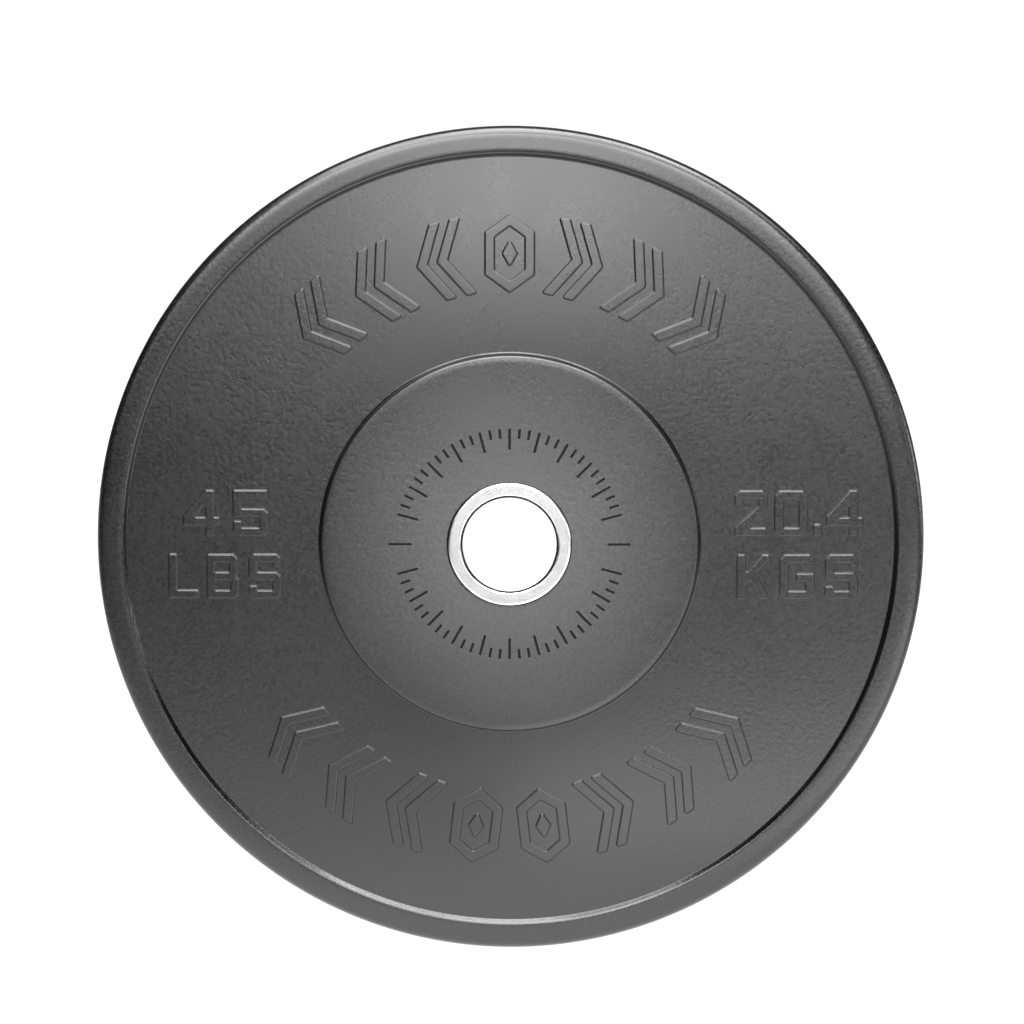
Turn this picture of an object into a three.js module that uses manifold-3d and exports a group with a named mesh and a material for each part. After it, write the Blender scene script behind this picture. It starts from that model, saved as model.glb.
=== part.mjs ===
// Bumper plate for an Olympic bar: a moulded rubber disc around a steel insert.
// Millimetres. The plate stands upright on its tread: the bore runs along Y, the
// front face looks along -Y, +Z is up, and the origin is the middle of the bore.
import * as THREE from "three";
import { mergeVertices } from "three/addons/utils/BufferGeometryUtils.js";
import Module from "manifold-3d";

// ---- driving dimensions ----
const PLATE_R = 225; // tread radius, the standard 450 mm wheel
const HALF_T = 43; // middle plane to the crest of a face ring
const RING_PROUD = 0.8; // how far a face ring stands above the hub face
const HUB_H = HALF_T - RING_PROUD; // middle plane to the hub face
const HUB_R = 102; // edge of the raised hub face
const HUB_CORNER = 1.5; // rounding of that edge
const HUB_FOOT_R = 103.9; // where the hub's drafted wall meets the web
const HUB_STEP = 5.3; // hub face down to the web
const WEB_R = 208.2; // outer edge of the web
const WEB_FALL = 2.2; // how far the crowned web falls away towards the rim
const LIP_R = 213.5; // crest of the raised rim
const LIP_H = HUB_H - 4.9; // middle plane to that crest
const SHOULDER_R = 220.2; // where the rim's face, falling 12 degrees, runs into the tread's corner
const SHOULDER_H = LIP_H - 0.5; // middle plane to that point
const BORE_R = 25.4; // clear bore
const LINER_R = 26.1; // outside of the thin bore liner
const LINER_H = 42.4; // middle plane to the liner's end
const MOUTH = 0.4; // bevel at the liner's mouth
const GAP = 0.3; // air between neighbouring pieces
const CORE_IN_R = LINER_R + GAP;
const CORE_R = 33.3; // outside of the core tube and of the face rings
const RING_T = 6; // height of a face ring
const RING_IN_R = 26.4; // inside of a face ring, a hairline clear of the liner
const SEAT_R = CORE_R + GAP; // the rubber's inner wall
const FLANGE_R = 75; // anchor flange, buried in the rubber
const FLANGE_T = 4;
const FLANGE_Y = 20; // middle plane to the middle of a flange
const KEY_HOLES = 8; // holes that the rubber flows through
const KEY_HOLE_R = 8;
const KEY_PITCH_R = 54;

const SIDES = 48; // facets around the bore axis, one of them facing straight down
const TRUE = 1 / Math.cos(Math.PI / SIDES); // puts the flat of each facet on its radius

// ---- materials ----
const rubber = () =>
  new THREE.MeshStandardMaterial({ color: 0x1b1b1c, roughness: 0.55, metalness: 0 });
const stainless = () =>
  new THREE.MeshStandardMaterial({ color: 0xd4d6d8, roughness: 0.16, metalness: 1 });
const mildSteel = () =>
  new THREE.MeshStandardMaterial({ color: 0x6a6c6e, roughness: 0.5, metalness: 1 });

// ---- shapes ----
// A closed [radius, y] loop turned about the bore axis.
function turned(loop) {
  const pts = loop.map(([r, y]) => new THREE.Vector2(r * TRUE, y));
  pts.push(pts[0].clone());
  let area = 0;
  for (let i = 0; i + 1 < pts.length; i++)
    area += pts[i].x * pts[i + 1].y - pts[i + 1].x * pts[i].y;
  if (area < 0) pts.reverse();
  return new THREE.LatheGeometry(pts, SIDES, Math.PI / SIDES);
}

// The points of an arc, both ends included.
function arc(cr, cy, radius, from, to, steps) {
  return Array.from({ length: steps + 1 }, (_, i) => {
    const a = THREE.MathUtils.degToRad(from + ((to - from) * i) / steps);
    return [cr + radius * Math.cos(a), cy + radius * Math.sin(a)];
  });
}

// A half loop given on the +Y side, closed by its own mirror image.
const mirrored = (half) => [...half, ...half.map(([r, y]) => [r, -y]).reverse()];

const wasm = await Module();
wasm.setup();

function solid(geometry) {
  const g = geometry.clone();
  g.deleteAttribute("normal");
  g.deleteAttribute("uv");
  const m = mergeVertices(g, 1e-4);
  return new wasm.Manifold(
    new wasm.Mesh({
      numProp: 3,
      vertProperties: m.attributes.position.array,
      triVerts: new Uint32Array(m.index.array),
    }),
  );
}

function geometryOf(made) {
  const m = made.getMesh();
  const g = new THREE.BufferGeometry();
  const at = new Float32Array(m.numVert * 3);
  for (let i = 0; i < m.numVert; i++)
    at.set(m.vertProperties.subarray(i * m.numProp, i * m.numProp + 3), i * 3);
  g.setAttribute("position", new THREE.BufferAttribute(at, 3));
  g.setIndex(new THREE.BufferAttribute(new Uint32Array(m.triVerts), 1));
  const flat = g.toNonIndexed();
  flat.computeVertexNormals();
  return flat;
}

// A ring of short pegs along Y, used for the flange's holes and the rubber in them.
function pegs(radius, length, y) {
  return Array.from({ length: KEY_HOLES }, (_, i) => {
    const a = ((i + 0.5) * 2 * Math.PI) / KEY_HOLES;
    const g = new THREE.CylinderGeometry(radius, radius, length, 12);
    g.translate(KEY_PITCH_R * Math.cos(a), y, KEY_PITCH_R * Math.sin(a));
    return g;
  });
}

const washer = (inner, outer, half, y) =>
  turned([
    [inner, y - half],
    [outer, y - half],
    [outer, y + half],
    [inner, y + half],
  ]);

// ---- rubber body ----
// One vulcanised moulding: hub, crowned web, low rim and flat tread, alike on both sides.
function rubberBody() {
  const webFoot = HUB_H - HUB_STEP;
  const fall = THREE.MathUtils.degToRad(78);
  const corner = (PLATE_R - SHOULDER_R) / (1 - Math.cos(fall));
  const web = [0, 0.3, 0.55, 0.78, 1].map((t) => [
    HUB_FOOT_R + t * (WEB_R - HUB_FOOT_R),
    webFoot - WEB_FALL * t * t,
  ]);
  const half = [
    [SEAT_R, HUB_H - 0.4],
    [SEAT_R + 0.4, HUB_H],
    ...arc(HUB_R - HUB_CORNER, HUB_H - HUB_CORNER, HUB_CORNER, 90, 15, 2),
    [HUB_FOOT_R - 0.4, webFoot + 0.5],
    ...web,
    [WEB_R + 0.5, webFoot - WEB_FALL + 0.2],
    [LIP_R - 3.5, LIP_H - 0.77],
    [LIP_R - 2.6, LIP_H - 0.22],
    [LIP_R, LIP_H],
    [LIP_R + 3.5, LIP_H - 0.1],
    ...arc(PLATE_R - corner, SHOULDER_H - corner * Math.sin(fall), corner, 78, 0, 3),
  ];
  let body = solid(turned(mirrored(half)));
  // The pockets that the anchor flanges fill, with the rubber keys left standing in them.
  for (const y of [-FLANGE_Y, FLANGE_Y]) {
    const halfT = FLANGE_T / 2 + GAP;
    let pocket = solid(washer(SEAT_R - 2, FLANGE_R + GAP, halfT, y));
    for (const key of pegs(KEY_HOLE_R - GAP, 4 * FLANGE_T, y))
      pocket = pocket.subtract(solid(key));
    body = body.subtract(pocket);
  }
  return geometryOf(body);
}

// ---- steel insert ----
const boreLiner = () =>
  turned(
    mirrored([
      [BORE_R, LINER_H - MOUTH],
      [BORE_R + MOUTH, LINER_H],
      [LINER_R, LINER_H],
    ]),
  );

const coreTube = () =>
  washer(CORE_IN_R, CORE_R, HALF_T - RING_T - GAP, 0);

// A ring with rounded edges and a flat land that bears on the collar or the next plate.
function faceRing(side) {
  const foot = HALF_T - RING_T;
  return turned(
    [
      [RING_IN_R, foot],
      [RING_IN_R, HALF_T - 0.9],
      [RING_IN_R + 0.25, HALF_T - 0.27],
      [RING_IN_R + 0.9, HALF_T],
      [CORE_R - 1.4, HALF_T],
      [CORE_R - 0.4, HALF_T - 0.35],
      [CORE_R, HALF_T - 1.1],
      [CORE_R, foot],
    ].map(([r, y]) => [r, side * y]),
  );
}

function anchorFlange(y) {
  let flange = solid(washer(SEAT_R, FLANGE_R, FLANGE_T / 2, y));
  for (const hole of pegs(KEY_HOLE_R, 4 * FLANGE_T, y))
    flange = flange.subtract(solid(hole));
  return geometryOf(flange);
}

// ---- assembly ----
const plate = new THREE.Group();
plate.name = "bumper_plate";

const insert = new THREE.Group();
insert.name = "steel_insert";
plate.add(insert);

function add(group, name, geometry, material) {
  const mesh = new THREE.Mesh(geometry, material);
  mesh.name = name;
  group.add(mesh);
}

add(plate, "rubber_body", rubberBody(), rubber());
add(insert, "bore_liner", boreLiner(), stainless());
add(insert, "front_face_ring", faceRing(-1), stainless());
add(insert, "back_face_ring", faceRing(1), stainless());
add(insert, "core_tube", coreTube(), mildSteel());
add(insert, "front_anchor_flange", anchorFlange(-FLANGE_Y), mildSteel());
add(insert, "back_anchor_flange", anchorFlange(FLANGE_Y), mildSteel());

export default plate;
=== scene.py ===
"""Bumper plate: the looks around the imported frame.

Sizes in the tables are millimetres, as in the frame; meshes are made in metres.
The bore runs along Y, the front face looks along -Y and +Z is up.
"""

import math

import bpy
import numpy as np
from mathutils import Matrix, Vector
from mathutils.geometry import delaunay_2d_cdt


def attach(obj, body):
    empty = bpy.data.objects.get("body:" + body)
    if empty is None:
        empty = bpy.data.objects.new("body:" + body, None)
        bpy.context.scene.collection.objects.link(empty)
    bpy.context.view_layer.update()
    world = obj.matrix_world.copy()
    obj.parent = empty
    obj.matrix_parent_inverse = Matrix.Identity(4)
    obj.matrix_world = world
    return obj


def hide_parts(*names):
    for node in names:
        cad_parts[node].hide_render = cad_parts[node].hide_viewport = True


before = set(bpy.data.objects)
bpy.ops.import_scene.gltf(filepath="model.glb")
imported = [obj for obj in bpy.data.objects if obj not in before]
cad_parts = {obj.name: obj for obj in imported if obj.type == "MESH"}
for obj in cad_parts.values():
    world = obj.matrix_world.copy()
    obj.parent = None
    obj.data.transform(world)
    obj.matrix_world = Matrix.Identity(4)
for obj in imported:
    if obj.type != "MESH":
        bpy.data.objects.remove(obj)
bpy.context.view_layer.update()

MM = 0.001
SIDES = 288  # steps around the bore axis; corners fall on +-X and +-Z

# ---- sizes of the moulding, within 0.2 mm of the frame's ----
PLATE_R = 225.0
BEAD = 0.15  # the mould's parting bead stands this far out of the tread
TREAD_R = PLATE_R - BEAD
HUB_H = 42.2
HUB_R = 102.0
HUB_CORNER = 1.3
HUB_ROLL, HUB_ROLL_R = 6.0, 25.8  # the hub's face rolls off by so many degrees before that corner
HUB_DRAFT = 18.0  # degrees that the hub's wall leans
HUB_FOOT_R = 0.8  # hollow rounding where that wall meets the web
WEB_IN = 103.89
WEB_FOOT = 36.9
WEB_OUT = 208.2
WEB_FALL = 2.2
LIP_H = 37.3
LIP_SLOPE = 50.0
LIP_FOOT_R = 0.6
LIP_TOP_R = 1.6
# The rim's face from its inner rounding to its shoulder: radius, degrees that it rises outward
LAND = (
    (211.0, 8.0),
    (211.8, 4.5),
    (212.8, 0.6),
    (213.8, -2.1),
    (215.6, -2.4),
    (217.2, -4.2),
    (219.2, -8.0),
    (220.6, -13.0),
)
SEAT_R = 33.6
POCKET_R = 75.3
POCKETS = ((22.3, 17.7), (-17.7, -22.3))
KEYS, KEY_R, KEY_PITCH_R = 8, 7.7, 54.0


# ---------------------------------------------------------------- mesh making
class Shell:
    """Collects vertices and faces with a normal for every face corner."""

    def __init__(self):
        self.points, self.count, self.rings = [], 0, {}
        self.faces, self.normals = [], []

    def add(self, pts):
        pts = np.asarray(pts, float).reshape(-1, 3)
        first = self.count
        self.points.append(pts)
        self.count += len(pts)
        return first + np.arange(len(pts))

    def ring(self, r, y):
        """The vertices of a circle about the bore axis, made once."""
        key = (round(r, 4), round(y, 4))
        if key not in self.rings:
            a = np.arange(SIDES) * 2 * math.pi / SIDES
            self.rings[key] = self.add(
                np.stack([r * np.cos(a), np.full(SIDES, y), r * np.sin(a)], 1)
            )
        return self.rings[key]

    def run(self, profile):
        """Turns a run of (r, y, normal r, normal y) about the bore axis."""
        a = np.arange(SIDES) * 2 * math.pi / SIDES
        nxt = (np.arange(SIDES) + 1) % SIDES
        c, s = np.cos(a), np.sin(a)
        for (r0, y0, p0, q0), (r1, y1, p1, q1) in zip(profile, profile[1:]):
            i, j = self.ring(r0, y0), self.ring(r1, y1)
            n0 = np.stack([p0 * c, np.full(SIDES, q0), p0 * s], 1)
            n1 = np.stack([p1 * c, np.full(SIDES, q1), p1 * s], 1)
            self.faces.append(np.stack([i, j, j[nxt], i[nxt]], 1))
            self.normals.append(np.stack([n0, n1, n1[nxt], n0[nxt]], 1))

    def triangles(self, tris, normals):
        self.faces.append(np.asarray(tris))
        self.normals.append(np.asarray(normals))

    def mesh(self, name):
        pts = np.concatenate(self.points) * MM
        faces = [f for block in self.faces for f in block.tolist()]
        me = bpy.data.meshes.new(name)
        me.from_pydata(pts.tolist(), [], faces)
        me.validate()
        me.polygons.foreach_set("use_smooth", np.ones(len(me.polygons), bool))
        n = np.concatenate([b.reshape(-1, 3) for b in self.normals])
        n /= np.linalg.norm(n, axis=1)[:, None]
        me.normals_split_custom_set(n.tolist())
        return me


def arc(cr, cy, radius, start, end, steps, hollow=False):
    """Profile points on an arc, with the angle of the normal going from start to end."""
    side = -1.0 if hollow else 1.0
    out = []
    for i in range(steps + 1):
        t = math.radians(start + (end - start) * i / steps)
        n = (math.cos(t), math.sin(t))
        out.append((cr + side * radius * n[0], cy + side * radius * n[1], *n))
    return out


def ellipse(cr, cy, a, b, start, end, steps):
    out = []
    for i in range(steps + 1):
        t = math.radians(start + (end - start) * i / steps)
        n = np.array([math.cos(t) / a, math.sin(t) / b])
        n /= np.hypot(*n)
        out.append((cr + a * math.cos(t), cy + b * math.sin(t), n[0], n[1]))
    return out


def flip(run):
    """The same run on the other face, in the same order."""
    return [(r, -y, p, -q) for r, y, p, q in run]


# ---------------------------------------------------------------- relief outlines
def outline(points, hole=False, rounding=0.7, step=4.0):
    """A polygon with rounded corners as (places, outward normals), material on its left."""
    p = np.asarray(points, float)
    q = np.roll(p, -1, 0)
    ccw = (p[:, 0] * q[:, 1] - p[:, 1] * q[:, 0]).sum() > 0
    if ccw == hole:
        p = p[::-1]
    count = len(p)
    d = np.roll(p, -1, 0) - p
    length = np.hypot(*d.T)
    d /= length[:, None]
    places, normals = [], []
    trims = []
    corners = []
    for k in range(count):
        d1, d2 = d[k - 1], d[k]
        cross = d1[0] * d2[1] - d1[1] * d2[0]
        turn = math.atan2(cross, d1 @ d2)
        trims.append(rounding * math.tan(abs(turn) / 2))
        n1 = np.array([d1[1], -d1[0]])
        side = 1.0 if turn > 0 else -1.0
        centre = p[k] - d1 * trims[-1] - side * n1 * rounding
        steps = max(1, math.ceil(abs(math.degrees(turn)) / 30))
        arc_n = []
        for i in range(steps + 1):
            t = turn * i / steps
            arc_n.append(
                np.array(
                    [
                        n1[0] * math.cos(t) - n1[1] * math.sin(t),
                        n1[0] * math.sin(t) + n1[1] * math.cos(t),
                    ]
                )
            )
        corners.append([(centre + side * rounding * n, n) for n in arc_n])
    for k in range(count):
        for place, n in corners[k]:
            places.append(place)
            normals.append(n)
        n = np.array([d[k][1], -d[k][0]])
        free = length[k] - trims[k] - trims[(k + 1) % count]
        parts = max(1, math.ceil(free / step))
        start = p[k] + d[k] * trims[k]
        for i in range(1, parts):
            places.append(start + d[k] * free * i / parts)
            normals.append(n)
    return np.array(places), np.array(normals)


def wall(height, top, foot, degrees, top_steps=3, foot_steps=2):
    """Levels (offset from the outline, height, slope) of a moulded edge, foot first."""
    a = math.radians(degrees)
    straight = (abs(height) - (top + foot) * (1 - math.cos(a))) / math.tan(a)
    width = (top + foot) * math.sin(a) + straight
    sign = 1.0 if height > 0 else -1.0
    out = []
    for i in range(foot_steps + 1):
        t = a * i / foot_steps
        out.append((foot * math.sin(t), foot * (1 - math.cos(t)), math.tan(t)))
    for i in range(top_steps + 1):
        t = a * (1 - i / top_steps)
        out.append(
            (
                width - top * math.sin(t),
                abs(height) - top * (1 - math.cos(t)),
                math.tan(t),
            )
        )
    return [(width / 2 - x, sign * z, sign * s) for x, z, s in out]


def moved(shapes, x, y, turn=0.0, scale=1.0):
    """A glyph's polygons placed on the face. turn is in degrees."""
    c, s = math.cos(math.radians(turn)) * scale, math.sin(math.radians(turn)) * scale
    return [
        ([(x + c * u - s * v, y + s * u + c * v) for u, v in pts], hole)
        for pts, hole in shapes
    ]


# Plain block characters, each as polygons (points, is it a hole), lower left corner at 0, 0.
GLYPHS = {
    "4": [
        (
            [
                (12.3, 0),
                (16.6, 0),
                (16.6, 5.6),
                (19.5, 5.6),
                (19.5, 9.9),
                (16.6, 9.9),
                (16.6, 24.6),
                (12.4, 24.6),
                (0, 10.4),
                (0, 5.6),
                (12.3, 5.6),
            ],
            False,
        ),
        ([(12.3, 9.9), (5.4, 9.9), (12.3, 17.9)], True),
    ],
    "5": [
        (
            [
                (0, 2.4),
                (2.4, 0),
                (16.4, 0),
                (18.8, 2.4),
                (18.8, 12.4),
                (16.6, 14.6),
                (4.3, 14.6),
                (4.3, 20.4),
                (18.4, 20.4),
                (18.4, 24.7),
                (0, 24.7),
                (0, 10.4),
                (14.5, 10.4),
                (14.5, 4.3),
                (4.2, 4.3),
                (4.2, 8.0),
                (0, 8.0),
            ],
            False,
        )
    ],
    "2": [
        (
            [
                (0, 0),
                (17, 0),
                (17, 4.3),
                (6.6, 4.3),
                (17, 14.6),
                (17, 22.2),
                (14.7, 24.5),
                (2.3, 24.5),
                (0, 22.2),
                (0, 16.8),
                (4.2, 16.8),
                (4.2, 20.2),
                (12.8, 20.2),
                (12.8, 16.2),
                (0, 4.6),
            ],
            False,
        )
    ],
    "0": [
        (
            [
                (2.4, 0),
                (15, 0),
                (17.4, 2.4),
                (17.4, 22),
                (15, 24.4),
                (2.4, 24.4),
                (0, 22),
                (0, 2.4),
            ],
            False,
        ),
        (
            [
                (5.0, 4.2),
                (12.4, 4.2),
                (13.2, 5.0),
                (13.2, 19.4),
                (12.4, 20.2),
                (5.0, 20.2),
                (4.2, 19.4),
                (4.2, 5.0),
            ],
            True,
        ),
    ],
    ".": [([(0, 0), (3.9, 0), (3.9, 6.2), (0, 6.2)], False)],
    "L": [([(0, 0), (16, 0), (16, 4.3), (4.3, 4.3), (4.3, 24), (0, 24)], False)],
    "B": [
        (
            [
                (0, 0),
                (14.8, 0),
                (17.1, 2.3),
                (17.1, 10.1),
                (15.3, 12.1),
                (16.6, 13.7),
                (16.6, 21.6),
                (14.3, 23.9),
                (0, 23.9),
            ],
            False,
        ),
        ([(4.2, 4.2), (12.9, 4.2), (12.9, 10.0), (4.2, 10.0)], True),
        ([(4.2, 14.1), (12.4, 14.1), (12.4, 19.7), (4.2, 19.7)], True),
    ],
    "S": [
        (
            [
                (0, 2.3),
                (2.3, 0),
                (14.9, 0),
                (17.2, 2.3),
                (17.2, 11.9),
                (14.9, 14.2),
                (4.2, 14.2),
                (4.2, 19.9),
                (13.0, 19.9),
                (13.0, 17.4),
                (17.2, 17.4),
                (17.2, 21.8),
                (14.9, 24.1),
                (2.3, 24.1),
                (0, 21.8),
                (0, 12.3),
                (2.3, 10.0),
                (13.0, 10.0),
                (13.0, 4.2),
                (4.2, 4.2),
                (4.2, 6.8),
                (0, 6.8),
            ],
            False,
        )
    ],
    "K": [
        (
            [
                (0, 0),
                (4.2, 0),
                (4.2, 7.4),
                (7.0, 10.4),
                (12.2, 0),
                (17.2, 0),
                (10.2, 13.8),
                (17.2, 22.0),
                (17.2, 24.1),
                (13.4, 24.1),
                (4.2, 13.3),
                (4.2, 24.1),
                (0, 24.1),
            ],
            False,
        )
    ],
    "G": [
        (
            [
                (2.4, 0),
                (16.0, 0),
                (18.4, 2.4),
                (18.4, 13.8),
                (9.0, 13.8),
                (9.0, 9.8),
                (14.2, 9.8),
                (14.2, 4.2),
                (4.2, 4.2),
                (4.2, 19.9),
                (14.2, 19.9),
                (14.2, 17.4),
                (18.4, 17.4),
                (18.4, 21.7),
                (16.0, 24.1),
                (2.4, 24.1),
                (0, 21.7),
                (0, 2.4),
            ],
            False,
        )
    ],
}

# Where each raised mark stands on the web: name, left edge, foot.
MARKS = [
    ("4", -177.2, 3.9),
    ("5", -149.9, 3.9),
    ("L", -185.4, -30.3),
    ("B", -164.5, -30.3),
    ("S", -141.6, -30.3),
    ("2", 122.0, 4.2),
    ("0", 143.6, 4.2),
    (".", 164.7, 4.2),
    ("4", 171.6, 4.2),
    ("K", 123.5, -30.2),
    ("G", 146.7, -30.2),
    ("S", 171.4, -30.2),
]

# Ornament of the two raised arcs, each motif about its own centre, +Y away from the bore.
CHEVRON = [
    (
        [(x, 0), (x + 11.6, -20.8), (x + 17.3, -20.8), (x + 5.7, 0), (x + 17.3, 20.8), (x + 11.6, 20.8)],
        False,
    )
    for x in (-14.2, -3.0)
]
LINK = [
    (
        [
            (0, 20.8),
            (-13.2, 11.4),
            (-13.2, -11.4),
            (0, -20.8),
            (13.2, -11.4),
            (13.2, 11.4),
        ],
        False,
    ),
    (
        [
            (0, 14.8),
            (-8.3, 8.9),
            (-8.3, -8.9),
            (0, -14.8),
            (8.3, -8.9),
            (8.3, 8.9),
        ],
        True,
    ),
    ([(0, 7.2), (-4.0, 0), (0, -7.2), (4.0, 0)], False),
]
MOTIF_R = 156.6
TOP_ARC = [(90 + 13.3 * k, k) for k in (3, 2, 1, 0, -1, -2, -3)]
FOOT_ARC = [(-90 + 6.75 * k, k) for k in (7, 5, 3, 1, -1, -3, -5, -7)]


def mirrored_x(shapes):
    return [([(-u, v) for u, v in pts], hole) for pts, hole in shapes]


def web_shapes():
    found = []
    for name, x, y in MARKS:
        found += moved(GLYPHS[name], x, y)
    for arc_list, links in ((TOP_ARC, (0,)), (FOOT_ARC, (1, -1))):
        for angle, k in arc_list:
            a = math.radians(angle)
            if k in links:
                shape = LINK
            else:  # the chevrons point away from the middle of their arc
                left = (k > 0) == (angle > 0)
                shape = CHEVRON if left else mirrored_x(CHEVRON)
                if angle < 0:
                    shape = mirrored_x(shape)
            found += moved(
                shape, MOTIF_R * math.cos(a), MOTIF_R * math.sin(a), angle - 90
            )
    return found


def hub_shapes():
    """A dial of fine sunk ticks around the bore, with a longer one at each side."""
    found = []
    for i in range(72):
        angle = i * 5.0
        if i % 36 == 0:
            inner, outer = 53.2, 65.4
        elif i % 36 in (1, 2, 34, 35):
            continue
        elif i % 3 == 0:
            inner, outer = 51.4, 62.6
        else:
            inner, outer = 57.4, 62.6
        tick = [([(inner, -0.56), (outer, -0.56), (outer, 0.56), (inner, 0.56)], False)]
        found += moved(tick, 0, 0, angle)
    return found


# ---------------------------------------------------------------- faces with relief
def web_height(r):
    t = (r - WEB_IN) / (WEB_OUT - WEB_IN)
    return WEB_FOOT - WEB_FALL * t * t


def web_slope(r):
    t = (r - WEB_IN) / (WEB_OUT - WEB_IN)
    return -2 * WEB_FALL * t / (WEB_OUT - WEB_IN)


def inside(points, loops):
    """Whether each point lies in the material of closed loops, by crossings."""
    hits = np.zeros(len(points), int)
    for loop in loops:
        a, b = loop, np.roll(loop, -1, 0)
        for lo in range(0, len(points), 2000):
            p = points[lo : lo + 2000, None]
            cross = (a[:, 1] > p[..., 1]) != (b[:, 1] > p[..., 1])
            with np.errstate(divide="ignore", invalid="ignore"):
                x = a[:, 0] + (p[..., 1] - a[:, 1]) * (b[:, 0] - a[:, 0]) / (
                    b[:, 1] - a[:, 1]
                )
            hits[lo : lo + 2000] += (cross & (p[..., 0] < x)).sum(1)
    return hits % 2 == 1


def patch(r_in, r_out, shapes, levels, rounding, grid, height, slope, step=4.0):
    """One annulus of the face, triangulated around its relief. The first 2 * SIDES points are its two rims."""
    a = np.arange(SIDES) * 2 * math.pi / SIDES
    circle = np.stack([np.cos(a), np.sin(a)], 1)
    places, lifts, grads = [r_in * circle, r_out * circle], [], []
    edges = []
    for k in range(2):
        i = k * SIDES + np.arange(SIDES)
        edges.append(np.stack([i, k * SIDES + (np.arange(SIDES) + 1) % SIDES], 1))
    lifts.append(np.zeros(2 * SIDES))
    grads.append(np.zeros((2 * SIDES, 2)))
    count = 2 * SIDES
    outlines = []
    for pts, hole in shapes:
        place, normal = outline(pts, hole, rounding, step)
        outlines.append(place)
        for offset, z, tan in levels:
            i = count + np.arange(len(place))
            places.append(place + offset * normal)
            lifts.append(np.full(len(place), z))
            grads.append(-tan * normal)
            edges.append(np.stack([i, np.roll(i, -1)], 1))
            count += len(place)
    marks = np.concatenate(places[2:]) if outlines else np.zeros((0, 2))
    grid_pts = []
    rows = max(1, round((r_out - r_in) / grid))
    for row in range(1, rows):
        r = r_in + (r_out - r_in) * row / rows
        n = round(2 * math.pi * r / grid)
        t = (np.arange(n) + 0.5 * (row % 2)) * 2 * math.pi / n
        grid_pts.append(np.stack([r * np.cos(t), r * np.sin(t)], 1))
    if grid_pts:
        g = np.concatenate(grid_pts)
        if len(marks):
            near = np.full(len(g), np.inf)
            for lo in range(0, len(g), 400):
                d = g[lo : lo + 400, None] - marks[None]
                near[lo : lo + 400] = np.sqrt((d * d).sum(2).min(1))
            g = g[near > min(grid * 0.45, 2.2)]
        lift = np.zeros(len(g))
        if outlines:
            lift[inside(g, outlines)] = levels[-1][1]
        places.append(g)
        lifts.append(lift)
        grads.append(np.zeros((len(g), 2)))
    uv = np.concatenate(places)
    lift, grad = np.concatenate(lifts), np.concatenate(grads)
    made = delaunay_2d_cdt(
        [Vector(p) for p in uv.tolist()],
        [tuple(e) for e in np.concatenate(edges).tolist()],
        [],
        0,
        1e-6,
        True,
    )
    source = np.array([ids[0] if ids else -1 for ids in made[3]])
    if (source < 0).any() or len(source) != len(uv):
        raise RuntimeError("two outlines of the relief cross or touch")
    tris = source[np.array(made[2])]
    tris = tris[~(tris < SIDES).all(1)]
    p = uv[tris]
    area = (p[:, 1, 0] - p[:, 0, 0]) * (p[:, 2, 1] - p[:, 0, 1]) - (
        p[:, 2, 0] - p[:, 0, 0]
    ) * (p[:, 1, 1] - p[:, 0, 1])
    tris[area < 0] = tris[area < 0][:, ::-1]
    r = np.hypot(*uv.T)
    base = np.array([slope(x) for x in r])
    total = base[:, None] * uv / r[:, None] + grad
    normals = np.concatenate([-total, np.ones((len(uv), 1))], 1)
    normals /= np.linalg.norm(normals, axis=1)[:, None]
    w = np.array([height(x) for x in r]) + lift
    return uv, w, normals, tris, lift


def place_patch(shell, made, rims, side, marks):
    """Puts a patch on the front (side -1) or, turned half round the Z axis, on the back (+1)."""
    uv, w, normals, tris, lift = made
    x = -side * uv[:, 0]
    at = np.stack([x, side * w, uv[:, 1]], 1)
    n = np.stack([-side * normals[:, 0], side * normals[:, 2], normals[:, 1]], 1)
    ids = np.empty(len(uv), int)
    around = np.arange(SIDES)
    if side > 0:
        around = (SIDES // 2 - around) % SIDES
    ids[:SIDES] = rims[0][around]
    ids[SIDES : 2 * SIDES] = rims[1][around]
    ids[2 * SIDES :] = shell.add(at[2 * SIDES :])
    shell.triangles(ids[tris], n[tris])
    marks.append((ids[2 * SIDES :], lift[2 * SIDES :]))


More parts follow.
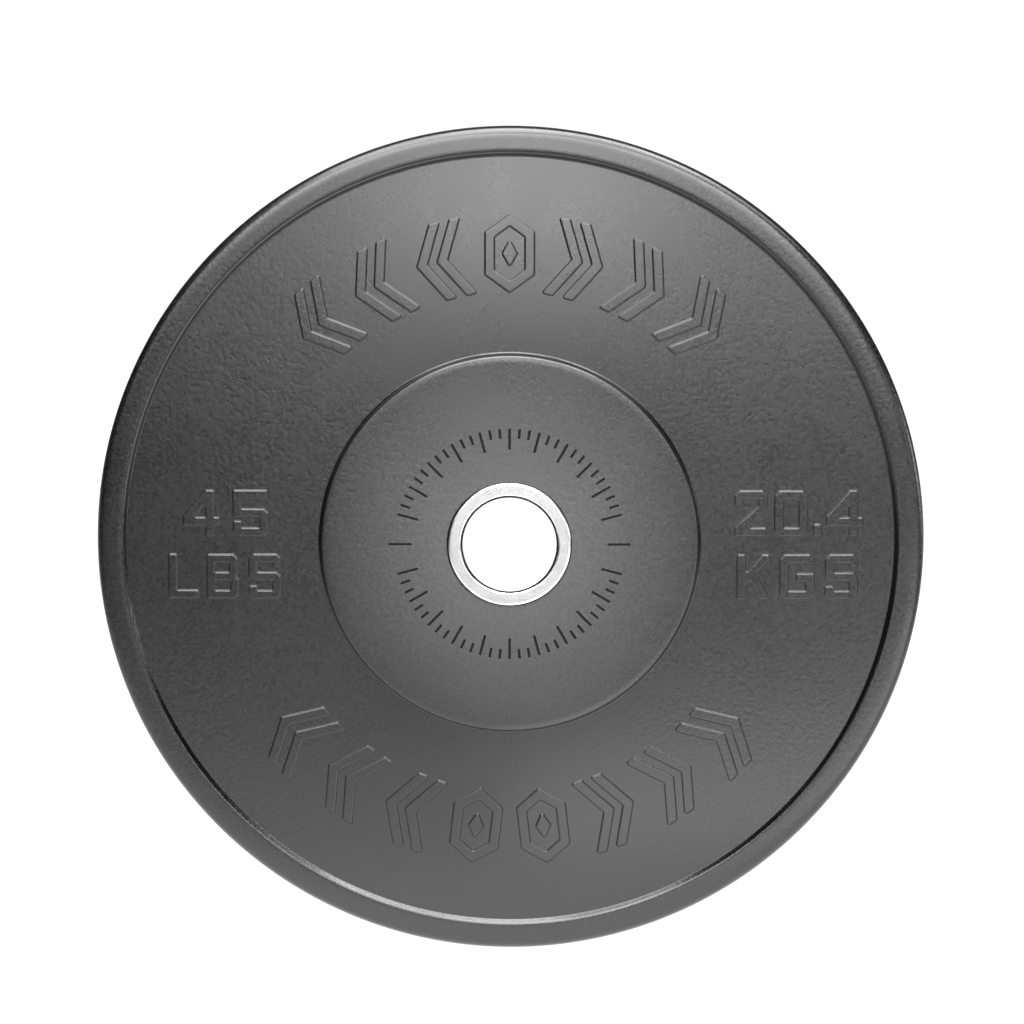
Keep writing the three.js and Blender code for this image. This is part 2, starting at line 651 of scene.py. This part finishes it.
# ---------------------------------------------------------------- the rubber moulding
def half_profile():
    """Runs of the +Y half from the bore seat to the tread. None stands for a face with relief."""
    seat = arc(SEAT_R + 0.4, HUB_H - 0.4, 0.4, 180, 90, 4)
    roll = math.radians(HUB_ROLL)
    inner = HUB_R - (HUB_ROLL_R - HUB_CORNER) * math.sin(roll) - HUB_CORNER
    corner = [
        *arc(inner, HUB_H - HUB_ROLL_R, HUB_ROLL_R, 90, 90 - HUB_ROLL, 5)[:-1],
        *arc(
            HUB_R - HUB_CORNER,
            HUB_H - HUB_ROLL_R + (HUB_ROLL_R - HUB_CORNER) * math.cos(roll),
            HUB_CORNER,
            90 - HUB_ROLL,
            HUB_DRAFT,
            9,
        ),
    ]
    foot = arc(WEB_IN, WEB_FOOT + HUB_FOOT_R, HUB_FOOT_R, HUB_DRAFT, 90, 6, hollow=True)
    lean = math.degrees(math.atan(-web_slope(WEB_OUT)))
    web_end = web_height(WEB_OUT)
    s = math.radians(LIP_SLOPE)
    b = math.radians(lean)
    cr = WEB_OUT + LIP_FOOT_R * math.sin(b)
    cy = web_end + LIP_FOOT_R * math.cos(b)
    lip_foot = arc(cr, cy, LIP_FOOT_R, 90 - lean, 90 + LIP_SLOPE, 6, hollow=True)
    radii = np.concatenate(
        [np.linspace(a[0], b[0], 5)[:-1] for a, b in zip(LAND, LAND[1:])]
        + [[LAND[-1][0]]]
    )
    tilt = np.radians(np.interp(radii, *np.array(LAND).T))
    drop = (np.tan(tilt[1:]) + np.tan(tilt[:-1])) / 2 * np.diff(radii)
    level = np.concatenate([[0.0], np.cumsum(drop)])
    level += LIP_H - level.max()
    land = [
        (r, y, -math.sin(t), math.cos(t)) for r, y, t in zip(radii, level, tilt)
    ]
    t0 = float(tilt[0])
    lip_top = arc(
        land[0][0] + LIP_TOP_R * math.sin(t0),
        land[0][1] - LIP_TOP_R * math.cos(t0),
        LIP_TOP_R,
        90 + LIP_SLOPE,
        90 + math.degrees(t0),
        8,
    )
    start, end = lip_foot[-1], lip_top[0]
    if abs((end[1] - start[1]) - (end[0] - start[0]) * math.tan(s)) > 0.15:
        raise RuntimeError(f"the rim's wall bends: {start} {end}")
    t1 = float(tilt[-1])
    shoulder_r = (TREAD_R - land[-1][0]) / (1 + math.sin(t1))
    shoulder = arc(
        TREAD_R - shoulder_r,
        land[-1][1] - shoulder_r * math.cos(t1),
        shoulder_r,
        90 + math.degrees(t1),
        0,
        22,
    )
    bead = [(TREAD_R, 0.45, 0.75, 0.66), (PLATE_R - 0.04, 0.2, 0.95, 0.3)]
    return [
        seat,
        None,
        [*corner, *foot],
        None,
        [
            *lip_foot,
            *lip_top[:-1],
            *land[:-1],
            *shoulder,
            (TREAD_R, 12.0, 1, 0),
            (TREAD_R, 0.45, 1, 0),
        ],
        bead,
    ]


def rubber_shell():
    shell, marks = Shell(), []
    half = half_profile()
    hub_rims = (half[0][-1], half[2][0])
    web_rims = (half[2][-1], half[4][0])
    hub = patch(
        hub_rims[0][0],
        hub_rims[1][0],
        hub_shapes(),
        wall(-0.5, 0.16, 0.12, 62, 2, 1),
        0.3,
        4.5,
        lambda r: HUB_H,
        lambda r: 0.0,
        step=4.5,
    )
    web = patch(
        web_rims[0][0],
        web_rims[1][0],
        web_shapes(),
        wall(0.95, 1.0, 0.35, 65, 3, 1),
        0.9,
        7.0,
        web_height,
        web_slope,
        step=6.0,
    )
    crest = [(PLATE_R, 0.0, 1.0, 0.0)]
    for run in half:
        if run is not None:
            shell.run(flip(run))
    shell.run([flip(half[-1])[-1], *crest, half[-1][-1]])
    for run in reversed(half):
        if run is not None:
            shell.run(run[::-1])
    for side in (-1, 1):
        for made, rims in ((hub, hub_rims), (web, web_rims)):
            rings = [shell.ring(r[0], side * r[1]) for r in rims]
            place_patch(shell, made, rings, side, marks)
    # The inner wall, with the two pockets around the flanges and the keys that cross them.
    a = np.arange(SIDES) * 2 * math.pi / SIDES
    ring = np.stack([np.cos(a), np.sin(a)], 1)
    peg_a = np.arange(24) * 2 * math.pi / 24
    pegs = []
    for k in range(KEYS):
        c = (k + 0.5) * 2 * math.pi / KEYS
        pegs.append(
            np.stack(
                [
                    KEY_PITCH_R * math.cos(c) + KEY_R * np.cos(peg_a),
                    KEY_PITCH_R * math.sin(c) + KEY_R * np.sin(peg_a),
                ],
                1,
            )
        )
    flat = np.concatenate([SEAT_R * ring, POCKET_R * ring, *pegs])
    edges = [(i, (i + 1) % SIDES) for i in range(SIDES)]
    edges += [(SIDES + i, SIDES + (i + 1) % SIDES) for i in range(SIDES)]
    first = 2 * SIDES
    for k in range(KEYS):
        edges += [(first + 24 * k + i, first + 24 * k + (i + 1) % 24) for i in range(24)]
    made = delaunay_2d_cdt([Vector(p) for p in flat.tolist()], edges, [], 0, 1e-6, True)
    source = np.array([ids[0] for ids in made[3]])
    tris = source[np.array(made[2])]
    kind = np.where(tris < SIDES, -1, np.where(tris < first, -2, (tris - first) // 24))
    same = (kind == kind[:, :1]).all(1) & (kind[:, 0] != -2)
    tris = tris[~same]
    p = flat[tris]
    area = (p[:, 1, 0] - p[:, 0, 0]) * (p[:, 2, 1] - p[:, 0, 1]) - (
        p[:, 2, 0] - p[:, 0, 0]
    ) * (p[:, 1, 1] - p[:, 0, 1])
    tris[area < 0] = tris[area < 0][:, ::-1]
    at_y = HUB_H - 0.4
    for top, low in POCKETS:
        shell.run([(SEAT_R, at_y, -1, 0), (SEAT_R, top, -1, 0)])
        levels = []
        for y, up in ((top, False), (low, True)):
            peg_ids = shell.add(
                np.stack([flat[first:, 0], np.full(24 * KEYS, y), flat[first:, 1]], 1)
            )
            ids = np.concatenate([shell.ring(SEAT_R, y), shell.ring(POCKET_R, y), peg_ids])
            t = tris[:, ::-1] if up else tris
            n = np.zeros((len(t), 3, 3))
            n[..., 1] = 1.0 if up else -1.0
            shell.triangles(ids[t], n)
            levels.append(peg_ids)
        shell.run([(POCKET_R, top, -1, 0), (POCKET_R, low, -1, 0)])
        out = np.stack([np.cos(peg_a), np.zeros(24), np.sin(peg_a)], 1)
        nxt = (np.arange(24) + 1) % 24
        for k in range(KEYS):
            hi, lo = levels[0][24 * k : 24 * k + 24], levels[1][24 * k : 24 * k + 24]
            shell.triangles(
                np.stack([lo, hi, hi[nxt], lo[nxt]], 1),
                np.stack([out, out, out[nxt], out[nxt]], 1),
            )
        at_y = low
    shell.run([(SEAT_R, at_y, -1, 0), (SEAT_R, -HUB_H + 0.4, -1, 0)])
    return shell, marks


def new_object(name, mesh):
    ob = bpy.data.objects.new(name, mesh)
    bpy.context.scene.collection.objects.link(ob)
    return ob


shell, marks = rubber_shell()
mesh = shell.mesh("rubber_moulding")
lifted = np.zeros(shell.count, np.float32)
for ids, lift in marks:
    lifted[ids] = lift
attribute = mesh.attributes.new("relief_mm", "FLOAT", "POINT")
attribute.data.foreach_set("value", lifted)
rubber = new_object("rubber_moulding", mesh)


# ---------------------------------------------------------------- steel insert, finely turned
def turned_piece(name, runs):
    made = Shell()
    for run in runs:
        made.run(run)
    return new_object(name, made.mesh(name))


def ring_runs(side):
    crown = [
        (26.4, 37.0, -1, 0),
        *ellipse(27.3, 42.1, 0.9, 0.9, 180, 90, 12),
        (31.9, 43.0, 0, 1),
        *ellipse(31.9, 41.9, 1.4, 1.1, 90, 0, 12)[1:],
        (33.3, 37.0, 1, 0),
    ]
    base = [(33.3, 37.0, 0, -1), (26.4, 37.0, 0, -1)]
    if side < 0:
        return [flip(crown), flip(base)]
    return [crown[::-1], base[::-1]]


front_ring = turned_piece("front_ring_polished", ring_runs(-1))
back_ring = turned_piece("back_ring_polished", ring_runs(1))

end = [
    *arc(25.75, 42.05, 0.35, 180, 90, 6),
    (25.95, 42.4, 0, 1),
    *arc(25.95, 42.25, 0.15, 90, 0, 4)[1:],
]
liner = turned_piece(
    "bore_liner_polished",
    [flip(end), [(26.1, -42.25, 1, 0), (26.1, 42.25, 1, 0)], end[::-1], [(25.4, 42.05, -1, 0), (25.4, -42.05, -1, 0)]],
)


# ---------------------------------------------------------------- materials
def material(name):
    mat = bpy.data.materials.new(name)
    mat.use_nodes = True
    nt = mat.node_tree
    return mat, nt, nt.nodes["Principled BSDF"]


def node(nt, kind, **inputs):
    n = nt.nodes.new(kind)
    for key, value in inputs.items():
        if key in n.inputs:
            n.inputs[key].default_value = value
        else:
            setattr(n, key, value)
    return n


def noise(nt, vector, scale, detail=3.0, roughness=0.55, distortion=0.0):
    n = nt.nodes.new("ShaderNodeTexNoise")
    n.inputs["Scale"].default_value = scale
    n.inputs["Detail"].default_value = detail
    n.inputs["Roughness"].default_value = roughness
    n.inputs["Distortion"].default_value = distortion
    nt.links.new(vector, n.inputs["Vector"])
    return n.outputs["Fac"]


def maprange(nt, value, a, b, c, d):
    n = nt.nodes.new("ShaderNodeMapRange")
    for socket, v in zip(("From Min", "From Max", "To Min", "To Max"), (a, b, c, d)):
        n.inputs[socket].default_value = v
    nt.links.new(value, n.inputs["Value"])
    return n.outputs["Result"]


def maths(nt, op, a, b=None, clamp=False):
    n = nt.nodes.new("ShaderNodeMath")
    n.operation = op
    n.use_clamp = clamp
    for socket, v in zip(n.inputs, (a, b)):
        if v is None:
            continue
        if isinstance(v, (int, float)):
            socket.default_value = v
        else:
            nt.links.new(v, socket)
    return n.outputs[0]


def mix_colour(nt, fac, a, b):
    n = nt.nodes.new("ShaderNodeMix")
    n.data_type = "RGBA"
    for socket, v in ((n.inputs["Factor"], fac), (n.inputs["A"], a), (n.inputs["B"], b)):
        if isinstance(v, tuple):
            socket.default_value = v
        else:
            nt.links.new(v, socket)
    return n.outputs["Result"]


def bump(nt, height, distance, strength=1.0, normal=None):
    n = nt.nodes.new("ShaderNodeBump")
    n.inputs["Distance"].default_value = distance
    n.inputs["Strength"].default_value = strength
    nt.links.new(height, n.inputs["Height"])
    if normal is not None:
        nt.links.new(normal, n.inputs["Normal"])
    return n.outputs["Normal"]


def grey(v):
    return (v, v, v, 1.0)


def radius_of(nt, at):
    """Distance from the bore axis, and the point (radius, y, 0)."""
    split = nt.nodes.new("ShaderNodeSeparateXYZ")
    nt.links.new(at, split.inputs[0])
    x2 = maths(nt, "MULTIPLY", split.outputs["X"], split.outputs["X"])
    z2 = maths(nt, "MULTIPLY", split.outputs["Z"], split.outputs["Z"])
    radius = maths(nt, "SQRT", maths(nt, "ADD", x2, z2))
    join = nt.nodes.new("ShaderNodeCombineXYZ")
    nt.links.new(radius, join.inputs["X"])
    nt.links.new(split.outputs["Y"], join.inputs["Y"])
    return radius, join.outputs[0]


def rubber_material():
    """Vulcanised rubber: satin and mottled, with a painted highlight lightening it around the bore, and painted shade
    on its drafted steps, in its sunk ticks and in the seat's joint.
    """
    mat, nt, shader = material("moulded_rubber")
    at = nt.nodes.new("ShaderNodeTexCoord").outputs["Object"]
    radius, section = radius_of(nt, at)
    grain = noise(nt, at, 1500.0, 2.0, 0.6)
    fleck = noise(nt, at, 640.0, 2.0, 0.7)
    mottle = noise(nt, at, 430.0, 3.0, 0.6)
    # How far round to the side a point lies, where the mottle is stronger: x^2 / (x^2 + z^2)
    split = nt.nodes.new("ShaderNodeSeparateXYZ")
    nt.links.new(at, split.inputs[0])
    xx = maths(nt, "MULTIPLY", split.outputs["X"], split.outputs["X"])
    zz = maths(nt, "MULTIPLY", split.outputs["Z"], split.outputs["Z"])
    side = maprange(
        nt, maths(nt, "DIVIDE", xx, maths(nt, "ADD", xx, zz)), 0.1, 0.7, 0.0, 1.0
    )
    side = maths(nt, "MAXIMUM", side, maprange(nt, radius, 0.1, 0.102, 0.35, 0.0))
    coarse = maths(nt, "ADD", 0.12, maths(nt, "MULTIPLY", side, 0.95))
    cloud = noise(nt, at, 26.0, 4.0, 0.6, 0.6)
    lines = noise(nt, section, 2600.0, 2.0, 0.6)
    relief = nt.nodes.new("ShaderNodeAttribute")
    relief.attribute_name = "relief_mm"
    sunk = maprange(nt, relief.outputs["Fac"], -0.35, -0.1, 1.0, 0.0)
    bloom = maprange(nt, cloud, 0.35, 0.7, 0.0, 1.0)
    # Painted highlight: lighter grey over the hub, strongest next to the ring and gone just past the hub's edge.
    bore_highlight = maths(
        nt,
        "MULTIPLY",
        maprange(nt, radius, 0.036, 0.108, 1.0, 0.0),
        maprange(nt, mottle, 0.3, 0.7, 0.93, 1.06),
    )
    spots = maths(nt, "SUBTRACT", maprange(nt, fleck, 0.4, 0.6, 0.0, 1.0), 0.5)
    spots = maths(nt, "ADD", 0.5, maths(nt, "MULTIPLY", spots, coarse))
    colour = mix_colour(nt, spots, grey(0.0), grey(0.006))
    colour = mix_colour(nt, maths(nt, "MULTIPLY", bloom, 0.3), colour, grey(0.006))
    colour = mix_colour(nt, bore_highlight, colour, grey(0.044))
    # Painted shade: the rubber at the sunk dial ticks is darkened.
    colour = mix_colour(nt, sunk, colour, grey(0.002))
    # Painted shade: near-black bands down the hub's step and the rim's inner step, where shadow falls.
    shaded_wall_bands = maths(
        nt,
        "ADD",
        maths(
            nt,
            "MULTIPLY",
            maprange(nt, radius, 0.1013, 0.1019, 0.0, 1.0),
            maprange(nt, radius, 0.1036, 0.1042, 1.0, 0.0),
        ),
        maths(
            nt,
            "MULTIPLY",
            maprange(nt, radius, 0.2081, 0.2086, 0.0, 1.0),
            maprange(nt, radius, 0.2104, 0.2112, 1.0, 0.0),
        ),
    )
    colour = mix_colour(nt, shaded_wall_bands, colour, grey(0.001))
    # A dark joint line at the ring's seat. Painted shade makes it full dark at the lower left and a fifth as dark at
    # the upper right.
    low = maths(
        nt,
        "ADD",
        maths(nt, "MULTIPLY", split.outputs["X"], 0.7),
        maths(nt, "MULTIPLY", split.outputs["Z"], 0.7),
    )
    joint = maths(
        nt,
        "MULTIPLY",
        maprange(nt, radius, 0.0341, 0.0344, 1.0, 0.0),
        maprange(nt, low, -0.012, 0.014, 1.0, 0.2),
    )
    colour = mix_colour(nt, joint, colour, grey(0.001))
    nt.links.new(colour, shader.inputs["Base Color"])
    rough = maths(
        nt,
        "ADD",
        maprange(nt, cloud, 0.3, 0.7, 0.265, 0.29),
        maths(nt, "MULTIPLY", maprange(nt, mottle, 0.3, 0.7, -0.03, 0.03), coarse),
    )
    rough = maths(nt, "SUBTRACT", rough, maths(nt, "MULTIPLY", shaded_wall_bands, 0.12))
    # The drafted sides of the raised marks are a little more matt
    edge = maths(
        nt,
        "MULTIPLY",
        maprange(nt, relief.outputs["Fac"], 0.01, 0.06, 0.0, 1.0),
        maprange(nt, relief.outputs["Fac"], 0.86, 0.94, 1.0, 0.0),
    )
    rough = maths(nt, "ADD", rough, maths(nt, "MULTIPLY", edge, 0.13))
    rough = maths(nt, "ADD", rough, maths(nt, "MULTIPLY", sunk, 0.3))
    nt.links.new(rough, shader.inputs["Roughness"])
    shader.inputs["Specular IOR Level"].default_value = 0.65
    moulded = bump(
        nt, maths(nt, "MULTIPLY", maths(nt, "SUBTRACT", mottle, 0.5), coarse), 0.00015
    )
    fine = bump(nt, grain, 0.000025, 1.0, moulded)
    rim = maprange(nt, radius, 0.2095, 0.212, 0.0, 1.0)
    turned = bump(nt, maths(nt, "MULTIPLY", lines, rim), 0.00001, 1.0, fine)
    nt.links.new(turned, shader.inputs["Normal"])
    return mat


def groove_material():
    """The same rubber down in the dial's grooves, where hardly any light gets to."""
    mat, nt, shader = material("moulded_rubber_groove")
    at = nt.nodes.new("ShaderNodeTexCoord").outputs["Object"]
    grain = noise(nt, at, 1500.0, 2.0, 0.6)
    colour = mix_colour(nt, grain, grey(0.003), grey(0.012))
    nt.links.new(colour, shader.inputs["Base Color"])
    nt.links.new(maprange(nt, grain, 0.3, 0.7, 0.6, 0.8), shader.inputs["Roughness"])
    shader.inputs["Specular IOR Level"].default_value = 0.08
    nt.links.new(bump(nt, grain, 0.00004), shader.inputs["Normal"])
    return mat


def steel_material(name, albedo, rough_lo, rough_hi, line_depth, joint_shade):
    """Turned and polished steel, with fine lines around the bore axis and painted shade darkening the joint at its
    end.

    joint_shade: the two depths in metres between which the painted shade sets in, the radius from where it
    lies, and how much of it lies above and to the right of the bore.
    """
    mat, nt, shader = material(name)
    at = nt.nodes.new("ShaderNodeTexCoord").outputs["Object"]
    radius, section = radius_of(nt, at)
    lines = noise(nt, section, 9000.0, 2.0, 0.6)
    smear = noise(nt, at, 140.0, 4.0, 0.6)
    shader.inputs["Metallic"].default_value = 1.0
    colour = mix_colour(
        nt,
        maprange(nt, smear, 0.35, 0.7, 0.0, 1.0),
        (albedo, albedo, albedo * 1.005, 1.0),
        (albedo * 0.93, albedo * 0.93, albedo * 0.935, 1.0),
    )
    from_depth, to_depth, from_radius, above = joint_shade
    split = nt.nodes.new("ShaderNodeSeparateXYZ")
    nt.links.new(at, split.inputs[0])
    depth = maths(nt, "ABSOLUTE", split.outputs["Y"])
    joint = maprange(nt, depth, from_depth, to_depth, 1.0, 0.0)
    if to_depth > from_depth:
        low = maths(
            nt,
            "ADD",
            maths(nt, "MULTIPLY", split.outputs["X"], 0.7),
            maths(nt, "MULTIPLY", split.outputs["Z"], 0.7),
        )
        joint = maths(
            nt, "MULTIPLY", joint, maprange(nt, low, -0.012, 0.014, 1.0, above)
        )
    joint = maths(
        nt,
        "MULTIPLY",
        joint,
        maprange(nt, radius, from_radius - 0.0002, from_radius, 0.0, 1.0),
    )
    # Painted shade: the joint darkened to near black.
    colour = mix_colour(nt, joint, colour, grey(0.03))
    nt.links.new(colour, shader.inputs["Base Color"])
    nt.links.new(
        maprange(nt, smear, 0.3, 0.7, rough_lo, rough_hi), shader.inputs["Roughness"]
    )
    nt.links.new(bump(nt, lines, line_depth), shader.inputs["Normal"])
    return mat


def mill_steel_material():
    """Dark hot-rolled steel of the pieces inside the rubber."""
    mat, nt, shader = material("mill_steel")
    at = nt.nodes.new("ShaderNodeTexCoord").outputs["Object"]
    scale = noise(nt, at, 60.0, 5.0, 0.6)
    speck = noise(nt, at, 500.0, 3.0, 0.6)
    shader.inputs["Metallic"].default_value = 1.0
    colour = mix_colour(
        nt,
        maprange(nt, scale, 0.4, 0.65, 0.0, 1.0),
        (0.19, 0.19, 0.2, 1.0),
        (0.1, 0.095, 0.095, 1.0),
    )
    nt.links.new(colour, shader.inputs["Base Color"])
    nt.links.new(maprange(nt, speck, 0.3, 0.7, 0.4, 0.62), shader.inputs["Roughness"])
    nt.links.new(bump(nt, speck, 0.00005), shader.inputs["Normal"])
    return mat


def give(ob, mat):
    ob.data.materials.clear()
    ob.data.materials.append(mat)


RUBBER = rubber_material()
# Painted shade in the joints: on the rings' outer edge towards the lower left only, and all round the liner's ends.
STEEL = steel_material("polished_stainless", 0.88, 0.2, 0.26, 0.000004, (0.04235, 0.0426, 0.0325, 0.0))
BORE_STEEL = steel_material("drawn_stainless", 0.86, 0.2, 0.3, 0.000006, (0.0423, 0.0419, 0.0, 1.0))
MILL = mill_steel_material()
give(rubber, RUBBER)
rubber.data.materials.append(groove_material())
in_groove = np.array(
    [lifted[list(face.vertices)].mean() < -0.12 for face in rubber.data.polygons]
)
rubber.data.polygons.foreach_set("material_index", in_groove.astype(np.int32))
give(front_ring, STEEL)
give(back_ring, STEEL)
give(liner, BORE_STEEL)
for name in ("core_tube", "front_anchor_flange", "back_anchor_flange"):
    give(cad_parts[name], MILL)

for piece, cad, slot in (
    (rubber, "rubber_body", "rubber"),
    (front_ring, "front_face_ring", "stainless"),
    (back_ring, "back_face_ring", "stainless"),
    (liner, "bore_liner", "stainless"),
):
    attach(piece, "root")
    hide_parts(cad)


# ---------------------------------------------------------------- floor, world, lights
floor_mesh = bpy.data.meshes.new("floor")
n = 96
floor_mesh.from_pydata(
    [
        (9 * math.cos(2 * math.pi * i / n), 9 * math.sin(2 * math.pi * i / n), -PLATE_R * MM)
        for i in range(n)
    ],
    [],
    [tuple(range(n))],
)
floor = new_object("floor", floor_mesh)
mat, nt, shader = material("pale_floor")
shader.inputs["Base Color"].default_value = grey(0.1)
shader.inputs["Roughness"].default_value = 0.9
shader.inputs["Specular IOR Level"].default_value = 0.1
shader.inputs["Emission Color"].default_value = grey(1.0)
split = nt.nodes.new("ShaderNodeSeparateXYZ")
nt.links.new(nt.nodes.new("ShaderNodeTexCoord").outputs["Object"], split.inputs[0])
floor_glow = maths(
    nt,
    "SQRT",
    maths(
        nt,
        "ADD",
        maths(nt, "MULTIPLY", split.outputs["X"], split.outputs["X"]),
        maths(nt, "MULTIPLY", split.outputs["Y"], split.outputs["Y"]),
    ),
)
FLOOR_FOOT, FLOOR_NEAR, FLOOR_FAR, FLOOR_BACK, FLOOR_LOOK = 0.7, 1.36, 0.0, 1.2, 1.05
glow = nt.nodes.new("ShaderNodeMapRange")
glow.interpolation_type = "SMOOTHSTEP"
for socket, v in zip(
    ("From Min", "From Max", "To Min", "To Max"), (0.3, 1.2, FLOOR_NEAR, FLOOR_FAR)
):
    glow.inputs[socket].default_value = v
nt.links.new(floor_glow, glow.inputs["Value"])
foot_glow = nt.nodes.new("ShaderNodeMapRange")
back_glow = nt.nodes.new("ShaderNodeMapRange")
for ramp, at, values in (
    (foot_glow, floor_glow, (0.1, 0.4, FLOOR_FOOT, 0.0)),
    (back_glow, split.outputs["Y"], (0.15, 0.9, 0.0, FLOOR_BACK)),
):
    ramp.interpolation_type = "SMOOTHSTEP"
    for socket, v in zip(("From Min", "From Max", "To Min", "To Max"), values):
        ramp.inputs[socket].default_value = v
    nt.links.new(at, ramp.inputs["Value"])
seen = nt.nodes.new("ShaderNodeLightPath").outputs["Is Camera Ray"]
bounce = maths(nt, "ADD", glow.outputs["Result"], foot_glow.outputs["Result"])
bounce = maths(nt, "ADD", bounce, back_glow.outputs["Result"])
nt.links.new(
    maths(
        nt,
        "ADD",
        maths(nt, "MULTIPLY", seen, FLOOR_LOOK),
        maths(nt, "MULTIPLY", maths(nt, "SUBTRACT", 1.0, seen), bounce),
    ),
    shader.inputs["Emission Strength"],
)
give(floor, mat)

world = bpy.data.worlds.new("studio")
bpy.context.scene.world = world
world.use_nodes = True
wt = world.node_tree
wt.nodes.clear()
surround = wt.nodes.new("ShaderNodeBackground")
surround.inputs["Color"].default_value = grey(1.0)
split = wt.nodes.new("ShaderNodeSeparateXYZ")
wt.links.new(wt.nodes.new("ShaderNodeTexCoord").outputs["Generated"], split.inputs[0])
wall_glow = wt.nodes.new("ShaderNodeMapRange")
wall_glow.interpolation_type = "SMOOTHSTEP"
for socket, v in zip(
    ("From Min", "From Max", "To Min", "To Max"), (0.75, 0.97, 0.03, 1.1)
):
    wall_glow.inputs[socket].default_value = v
wt.links.new(split.outputs["Y"], wall_glow.inputs["Value"])
wt.links.new(wall_glow.outputs["Result"], surround.inputs["Strength"])
backdrop = wt.nodes.new("ShaderNodeBackground")
backdrop.inputs["Color"].default_value = grey(1.0)
backdrop.inputs["Strength"].default_value = 1.05
path = wt.nodes.new("ShaderNodeLightPath")
blend = wt.nodes.new("ShaderNodeMixShader")
out = wt.nodes.new("ShaderNodeOutputWorld")
wt.links.new(path.outputs["Is Camera Ray"], blend.inputs[0])
wt.links.new(surround.outputs[0], blend.inputs[1])
wt.links.new(backdrop.outputs[0], blend.inputs[2])
wt.links.new(blend.outputs[0], out.inputs[0])

# A soft box that arches from low in front to right over the plate, in panels:
# elevation, distance, width, height, then (x, watts) of each panel
ARCH = (
    (0, 2.6, 0.45, 0.42, ((0.0, 0.4),)),
    (9, 2.6, 0.45, 0.4, ((-0.45, 1.0), (0.0, 9.1), (0.9, 4.6))),
    (18, 2.6, 0.45, 0.42, ((-0.9, 3.8), (-0.45, 0.8), (0.0, 1.6), (0.45, 2.2), (0.9, 4.8))),
    (29, 2.5, 0.6, 0.55, ((-0.9, 12.5), (-0.3, 15.7), (0.3, 12.4), (0.9, 14.0))),
    (44, 2.3, 0.6, 0.6, ((-0.9, 4.5), (-0.3, 3.8), (0.3, 2.1))),
    (54, 2.1, 0.7, 0.5, ((-0.7, 12.0), (0.0, 14.7), (0.7, 7.3))),
    (67, 2.0, 0.7, 0.5, ((-0.7, 8.0), (0.0, 8.0), (0.7, 6.0))),
    (80, 1.9, 0.7, 0.66, ((-0.7, 12.0), (0.0, 23.0), (0.7, 21.0))),
)
# name: azimuth from the front towards +X, elevation, distance, width, height, watts
LIGHTS = {
    "high_right": (65, 52, 2.1, 0.8, 0.8, 9.6),
    "side_right": (50, 8, 2.4, 0.9, 0.7, 4.5),
    "crest_left": (-40, 16, 2.4, 0.7, 0.6, 3.0),
    "edge_right": (88, 6, 2.4, 0.9, 0.6, 9.0),
    "back": (180, 6.5, 2.6, 1.4, 0.6, 7.0),
}
# Reflectors that lie on the floor in front: x, y, width, depth, watts
BOUNCE = (
    (0.25, -0.45, 0.5, 0.44, 1.3),
    (0.75, -0.45, 0.5, 0.44, 1.6),
    (0.75, -1.0, 0.5, 0.66, 3.9),
)


def area_light(name, az, el, dist, width, height, watts):
    data = bpy.data.lights.new(name, "AREA")
    data.shape = "RECTANGLE"
    data.size, data.size_y = width, height
    data.energy = watts
    ob = bpy.data.objects.new(name, data)
    bpy.context.scene.collection.objects.link(ob)
    a, e = math.radians(az), math.radians(el)
    at = Vector((math.sin(a) * math.cos(e), -math.cos(a) * math.cos(e), math.sin(e)))
    ob.location = at * dist
    ob.rotation_euler = at.to_track_quat("Z", "Y").to_euler()
    ob.visible_camera = False
    return ob


lights = {name: area_light(name, *values) for name, values in LIGHTS.items()}
for el, dist, width, height, panels in ARCH:
    y, z = dist * math.cos(math.radians(el)), dist * math.sin(math.radians(el))
    for k, (x, watts) in enumerate(panels):
        far = math.sqrt(x * x + y * y + z * z)
        az = math.degrees(math.atan2(x, y))
        name = f"arch_{el}_{k}"
        lights[name] = area_light(
            name, az, math.degrees(math.asin(z / far)), far, width, height, watts
        )
for k, (x, y, width, depth, watts) in enumerate(BOUNCE):
    name = f"bounce_{k}"
    lights[name] = area_light(name, 0, 0, 1, width, depth, watts)
    lights[name].location = (x, y, -PLATE_R * MM + 0.002)
    lights[name].rotation_euler = (math.pi, 0, 0)

# ---------------------------------------------------------------- camera
cam_data = bpy.data.cameras.new("camera")
cam = bpy.data.objects.new("camera", cam_data)
bpy.context.scene.collection.objects.link(cam)
cam_data.sensor_width = 36.0
cam_data.lens = 97.56
cam_data.clip_start, cam_data.clip_end = 0.05, 60.0
el, az, dist = math.radians(6.4), math.radians(0.84), 1.5
aim = Vector((0, -HUB_H * MM, 0))
eye = aim + dist * Vector(
    (math.sin(az) * math.cos(el), -math.cos(az) * math.cos(el), math.sin(el))
)
ahead = (aim - eye).normalized()
right = ahead.cross(Vector((0, 0, 1))).normalized()
up = right.cross(ahead)
turn = Matrix.Rotation(-0.00088, 3, up)
ahead, right = turn @ ahead, turn @ right
turn = Matrix.Rotation(0.01171, 3, right)
ahead, up = turn @ ahead, turn @ up
cam.matrix_world = Matrix(
    (
        (right.x, up.x, -ahead.x, eye.x),
        (right.y, up.y, -ahead.y, eye.y),
        (right.z, up.z, -ahead.z, eye.z),
        (0, 0, 0, 1),
    )
)
bpy.context.scene.camera = cam
bpy.context.scene.view_settings.view_transform = "Standard"
bpy.context.scene.view_settings.look = "None"
